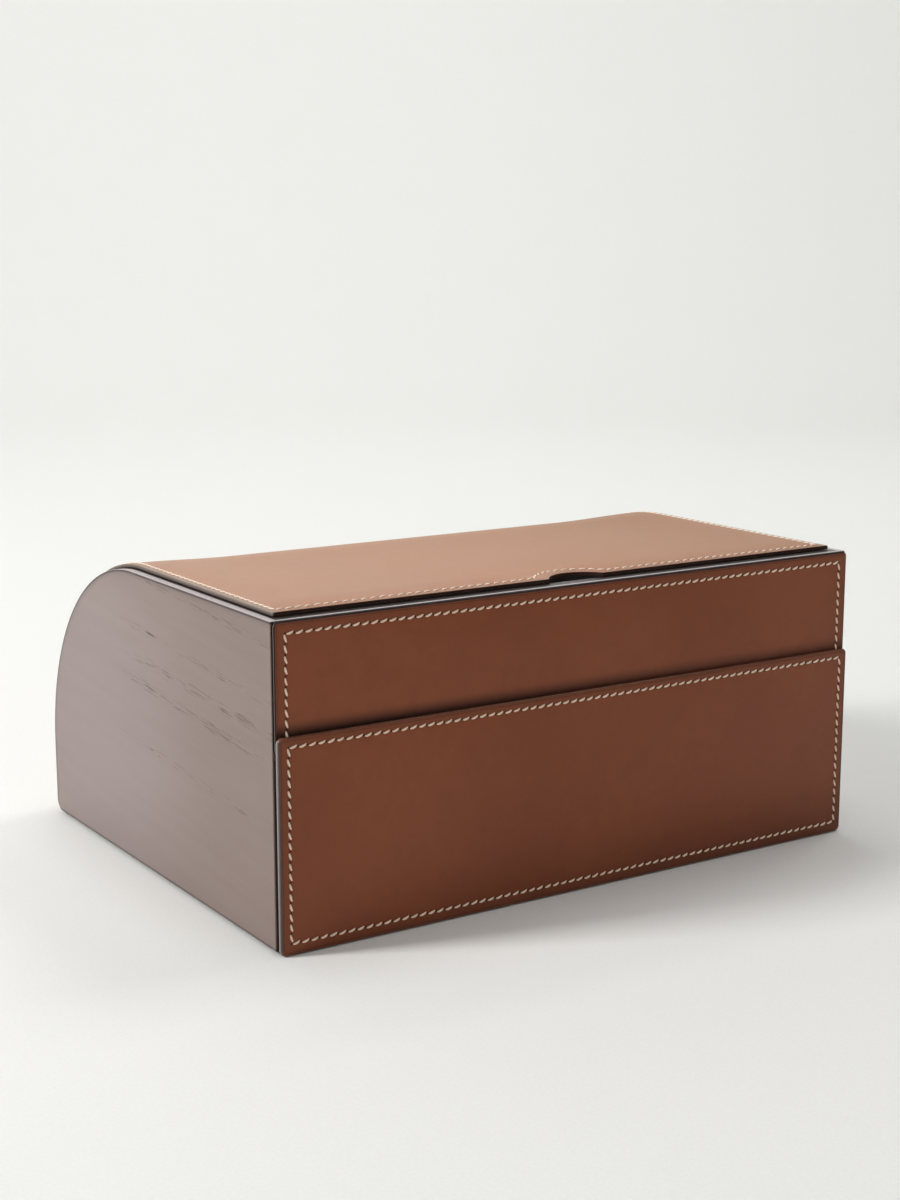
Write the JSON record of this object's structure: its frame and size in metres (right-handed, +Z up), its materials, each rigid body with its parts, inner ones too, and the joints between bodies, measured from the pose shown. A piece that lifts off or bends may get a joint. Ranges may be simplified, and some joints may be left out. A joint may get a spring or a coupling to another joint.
{
  "type": "stationery box",
  "caption": "Leather-covered box for writing paper: wooden side panels, a lid hinged on the rounded back shoulder, and a leather-fronted drawer below the paper compartment.",
  "frame": {"origin": "middle of the box's footprint, on the surface it stands on", "axes": "+X to the right seen from the front, -Y out of the front, +Z up"},
  "size_m": [0.32, 0.2488, 0.1452],
  "materials": {
    "stained_wood": "grey-brown stained walnut, satin lacquer, fine straight grain",
    "saddle_leather": "smooth mid brown bridle leather, soft sheen, burnished dark painted edges",
    "suede_lining": "tan suede, matt nap",
    "drawer_wood": "plain light hardwood, waxed",
    "brass": "satin brass, lacquered",
    "steel": "plain zinc-plated steel",
    "felt": "dark wool felt",
    "thread": "waxed cream linen thread, saddle stitched"
  },
  "bodies": {
    "carcass": {"side_panel_left": "stained_wood", "side_panel_right": "stained_wood", "bottom_board": "stained_wood", "back_panel": "stained_wood", "back_leather": "saddle_leather", "compartment_floor": "stained_wood", "front_rail": "stained_wood", "front_rail_leather": "saddle_leather", "compartment_lining_floor": "suede_lining", "compartment_lining_left": "suede_lining", "compartment_lining_right": "suede_lining", "compartment_lining_front": "suede_lining", "hinge_body_leaf_left": "brass", "hinge_body_leaf_right": "brass", "hinge_pin_left": "brass", "hinge_pin_right": "brass", "hinge_body_screws": "brass", "drawer_runner_left": "drawer_wood", "drawer_runner_right": "drawer_wood", "runner_screws": "steel", "drawer_stops": "drawer_wood", "foot_pad_front_left": "felt", "foot_pad_front_right": "felt", "foot_pad_rear_left": "felt", "foot_pad_rear_right": "felt"},
    "lid": {"lid_core": "stained_wood", "lid_leather": "saddle_leather", "lid_lining": "suede_lining", "hinge_lid_leaf_left": "brass", "hinge_lid_leaf_right": "brass", "hinge_lid_screws": "brass"},
    "drawer": {"drawer_front_leather": "saddle_leather", "drawer_front_backing": "saddle_leather", "drawer_front_board": "drawer_wood", "drawer_side_left": "drawer_wood", "drawer_side_right": "drawer_wood", "drawer_back": "drawer_wood", "drawer_bottom": "drawer_wood", "drawer_lining": "suede_lining"}
  },
  "joints": [
    {"name": "lid_hinge", "type": "hinge", "parent": "carcass", "child": "lid", "pos_m": [0, 0.10594, 0.10297], "axis": [-1, 0, 0], "range_deg": [0, 100]},
    {"name": "drawer_slide", "type": "slide", "parent": "carcass", "child": "drawer", "axis": [0, -1, 0], "range_m": [0, 0.1703]}
  ]
}
